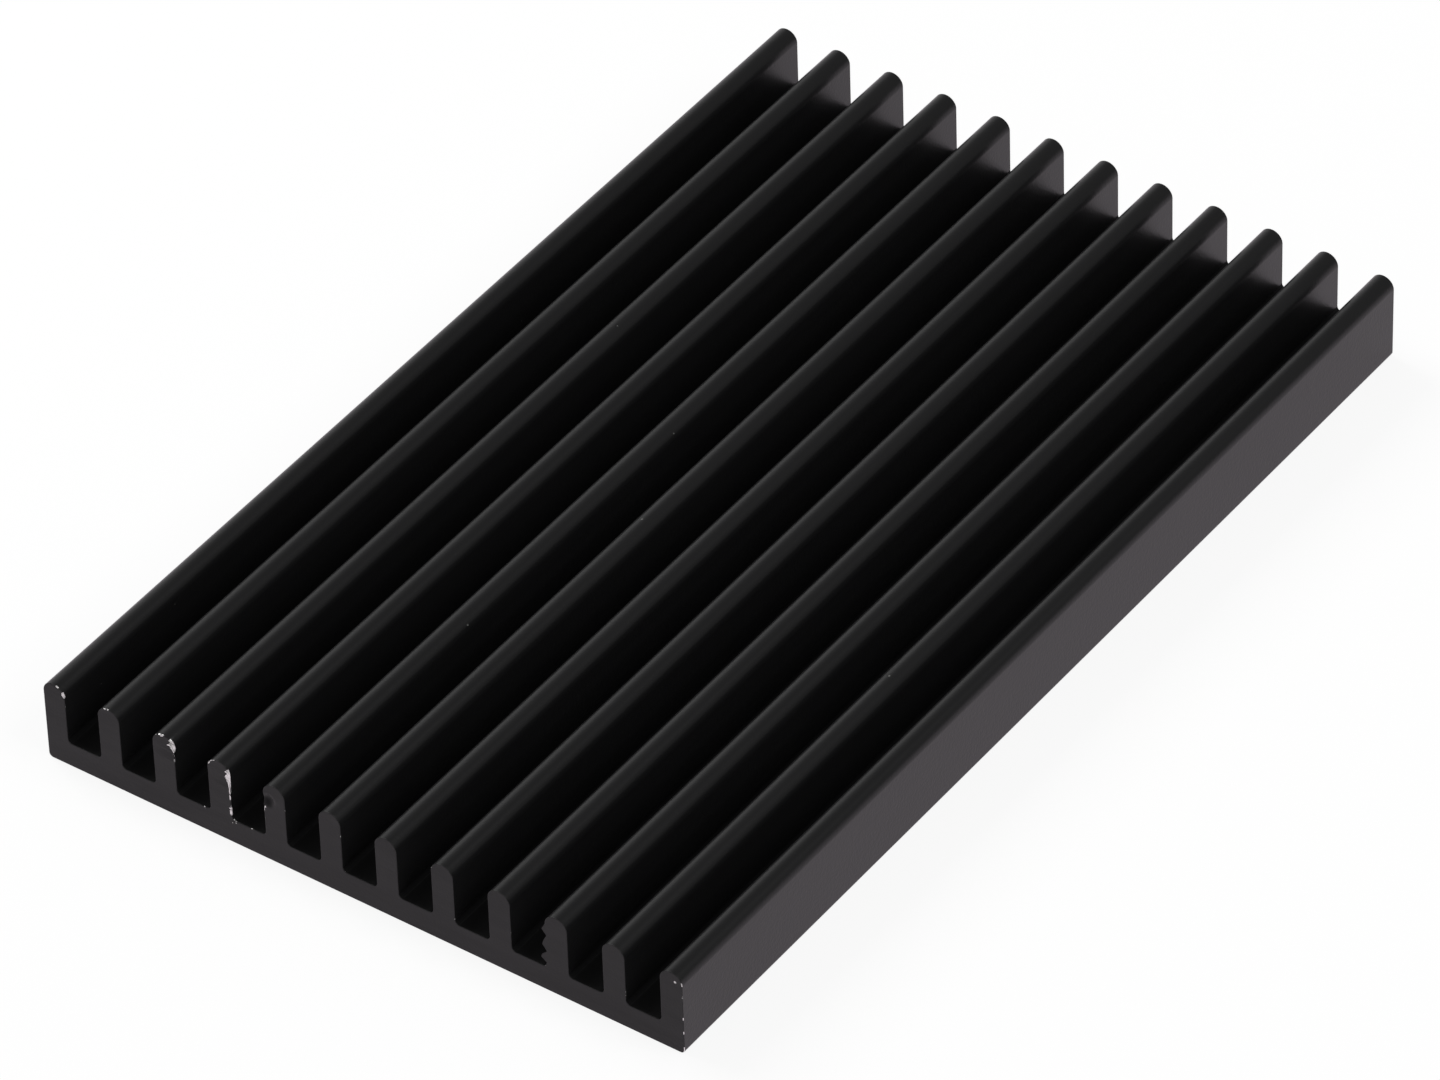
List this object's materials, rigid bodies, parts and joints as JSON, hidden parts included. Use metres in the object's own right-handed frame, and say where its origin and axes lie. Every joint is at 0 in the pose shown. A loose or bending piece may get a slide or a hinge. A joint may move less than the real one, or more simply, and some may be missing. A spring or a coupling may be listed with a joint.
{
  "type": "extruded heat sink",
  "caption": "Flat black anodised aluminium heat sink: an extruded base with straight, round-tipped parallel fins, cut to length to carry heat away from whatever its underside is held to.",
  "frame": {"origin": "middle of the flat underside of the base", "axes": "+Z from the underside to the fin tips, +Y along the fins to the back end, +X to the right side seen from the worn front end, which faces -Y"},
  "size_m": [0.0616, 0.1, 0.008],
  "materials": {
    "black_anodise": "satin black anodised, with fine lines along the extrusion and duller sawn ends"
  },
  "bodies": {
    "root": {"heat_sink": "black_anodise"}
  },
  "joints": []
}
